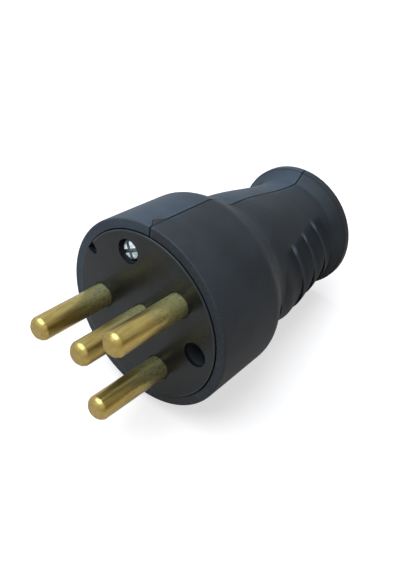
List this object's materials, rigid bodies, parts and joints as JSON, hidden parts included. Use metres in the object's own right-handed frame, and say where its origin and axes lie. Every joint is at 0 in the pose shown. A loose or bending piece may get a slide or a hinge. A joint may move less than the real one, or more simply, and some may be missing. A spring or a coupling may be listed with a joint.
{
  "type": "round four-pin power plug",
  "caption": "Round power plug with brass contact pins, a moulded body in two halves, ridged finger grips and a flared collar at the cable entry.",
  "frame": {"origin": "on the plug's axis, at the rear face of the collar that it stands on", "axes": "+Z along the plug's axis from the cable entry to the pin tips; +Y towards the top of the joint between the half shells, which lies in the YZ plane; +X towards the right half shell, seen from the pins"},
  "size_m": [0.0562, 0.0562, 0.0985],
  "materials": {
    "shell": "moulded black plastic with a fine satin grain",
    "carrier": "pressed black phenolic, satin",
    "brass": "turned brass, lightly aged",
    "steel": "zinc-plated steel",
    "bush": "black rubber"
  },
  "bodies": {
    "root": {"shell_right": "shell", "shell_left": "shell", "pin_carrier": "carrier", "pin_retainer": "carrier", "pin_left": "brass", "pin_right": "brass", "pin_bottom": "brass", "pin_centre": "brass", "terminal_screw_left": "steel", "terminal_screw_right": "steel", "terminal_screw_bottom": "steel", "terminal_screw_centre": "steel", "face_screw_1": "steel", "face_screw_2": "steel", "face_screw_3": "steel", "face_washer_1": "steel", "face_washer_2": "steel", "face_washer_3": "steel", "face_nut_1": "steel", "face_nut_2": "steel", "face_nut_3": "steel", "clamp_strap": "steel", "clamp_screw_upper": "steel", "clamp_screw_lower": "steel", "clamp_insert_upper": "brass", "clamp_insert_lower": "brass", "shell_screw_upper": "steel", "shell_screw_lower": "steel", "shell_insert_upper": "brass", "shell_insert_lower": "brass", "cable_bush": "bush"}
  },
  "joints": []
}
